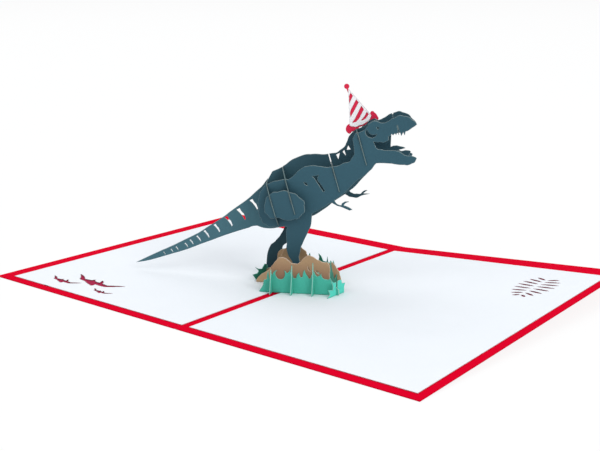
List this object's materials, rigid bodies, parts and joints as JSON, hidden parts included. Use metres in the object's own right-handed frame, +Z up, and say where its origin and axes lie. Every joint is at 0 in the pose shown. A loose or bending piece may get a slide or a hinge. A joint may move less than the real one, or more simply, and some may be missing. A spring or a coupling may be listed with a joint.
{
  "type": "pop-up greeting card",
  "caption": "Open pop-up greeting card: a folded card with lined panels, and a slotted-card dinosaur in a party hat standing on a grassy rock mound across the fold.",
  "frame": {"origin": "middle of the fold at table level, which is the centre of the base of the open card", "axes": "+X across the fold towards the right panel, +Y along the fold towards the back edge, +Z up"},
  "size_m": [0.254, 0.178, 0.0992],
  "materials": {
    "red_cover_card": "matt",
    "white_lining_card": "matt",
    "teal_card": "matt",
    "red_hat_card": "matt",
    "white_hat_card": "matt",
    "tan_card": "matt",
    "green_card": "matt"
  },
  "bodies": {
    "root": {"cover": "red_cover_card", "left_lining": "white_lining_card", "right_lining": "white_lining_card", "spine_slice": "teal_card", "near_body_slice": "teal_card", "far_body_slice": "teal_card", "near_thigh_slice": "teal_card", "far_thigh_slice": "teal_card", "rear_hip_rib": "teal_card", "front_hip_rib": "teal_card", "chest_rib": "teal_card", "neck_rib": "teal_card", "snout_rib": "teal_card", "hat_slice": "red_hat_card", "hat_near_face": "white_hat_card", "hat_far_face": "white_hat_card", "front_rock": "tan_card", "near_middle_rock": "tan_card", "far_middle_rock": "tan_card", "back_rock": "tan_card", "front_grass": "green_card", "back_grass": "green_card", "left_cross_slice": "green_card", "middle_cross_slice": "green_card", "right_cross_slice": "green_card", "end_cross_slice": "green_card", "left_tuft": "green_card", "right_tuft": "green_card"}
  },
  "joints": []
}
